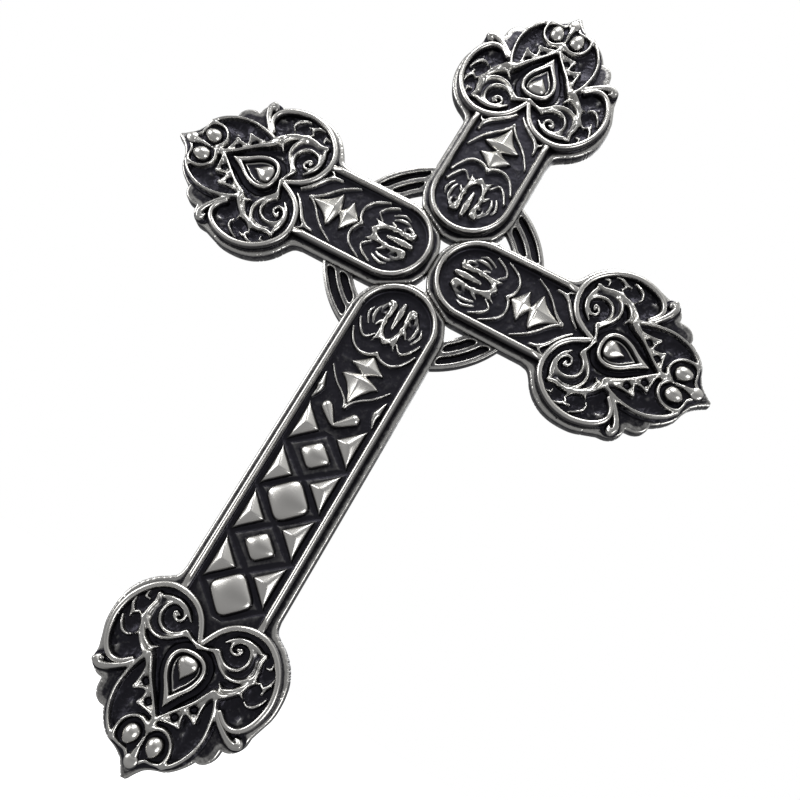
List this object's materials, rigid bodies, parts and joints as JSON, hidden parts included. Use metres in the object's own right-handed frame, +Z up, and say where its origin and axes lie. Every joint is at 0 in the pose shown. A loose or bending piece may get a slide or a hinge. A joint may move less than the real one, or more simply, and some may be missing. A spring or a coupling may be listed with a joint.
{
  "type": "processional cross",
  "caption": "Processional cross of antiqued silver with lobed scrollwork finials, a grooved ring round the crossing and a rear socket for a staff.",
  "frame": {"origin": "centre of the staff socket's mouth, on the staff's axis", "axes": "+Z up the staff towards the top arm, -Y the way the front face looks, +X to the right of a person who faces the front"},
  "size_m": [0.2996, 0.0517, 0.4388],
  "materials": {
    "dark_silver": "silver plate on cast brass, blackened in the grooves and worn bright on the edges",
    "relief_silver": "cast relief, near-black patina in the ground, ribs polished bright",
    "polished_silver": "polished silver plate with soft warm-grey highlights",
    "plain_silver": "plain satin silver plate, lightly tarnished",
    "steel": "turned steel screws"
  },
  "bodies": {
    "root": {"arm_relief_foot": "relief_silver", "arm_relief_left": "relief_silver", "arm_relief_right": "relief_silver", "arm_relief_top": "relief_silver", "arm_rim_foot": "polished_silver", "arm_rim_left": "polished_silver", "arm_rim_right": "polished_silver", "arm_rim_top": "polished_silver", "back_plate_foot": "plain_silver", "back_plate_left": "plain_silver", "back_plate_right": "plain_silver", "back_plate_top": "plain_silver", "back_screws_foot": "steel", "back_screws_left": "steel", "back_screws_right": "steel", "back_screws_top": "steel", "case_foot": "dark_silver", "case_left": "dark_silver", "case_right": "dark_silver", "case_top": "dark_silver", "drop_studs": "polished_silver", "finial_relief_foot": "relief_silver", "finial_relief_left": "relief_silver", "finial_relief_right": "relief_silver", "finial_relief_top": "relief_silver", "fleur_boss_foot": "polished_silver", "fleur_boss_left": "polished_silver", "fleur_boss_right": "polished_silver", "fleur_boss_top": "polished_silver", "half_lozenge_studs": "polished_silver", "heart_rim_foot": "polished_silver", "heart_rim_left": "polished_silver", "heart_rim_right": "polished_silver", "heart_rim_top": "polished_silver", "large_lozenge_studs": "polished_silver", "pearls_foot": "polished_silver", "pearls_left": "polished_silver", "pearls_right": "polished_silver", "pearls_top": "polished_silver", "ring_lower_left": "dark_silver", "ring_lower_right": "dark_silver", "ring_upper_left": "dark_silver", "ring_upper_right": "dark_silver", "small_lozenge_studs": "polished_silver", "socket_screws": "steel", "staff_set_screw": "steel", "staff_socket": "plain_silver", "teardrop_bezel_foot": "polished_silver", "teardrop_bezel_left": "polished_silver", "teardrop_bezel_right": "polished_silver", "teardrop_bezel_top": "polished_silver", "teardrop_boss_foot": "polished_silver", "teardrop_boss_left": "polished_silver", "teardrop_boss_right": "polished_silver", "teardrop_boss_top": "polished_silver"}
  },
  "joints": []
}
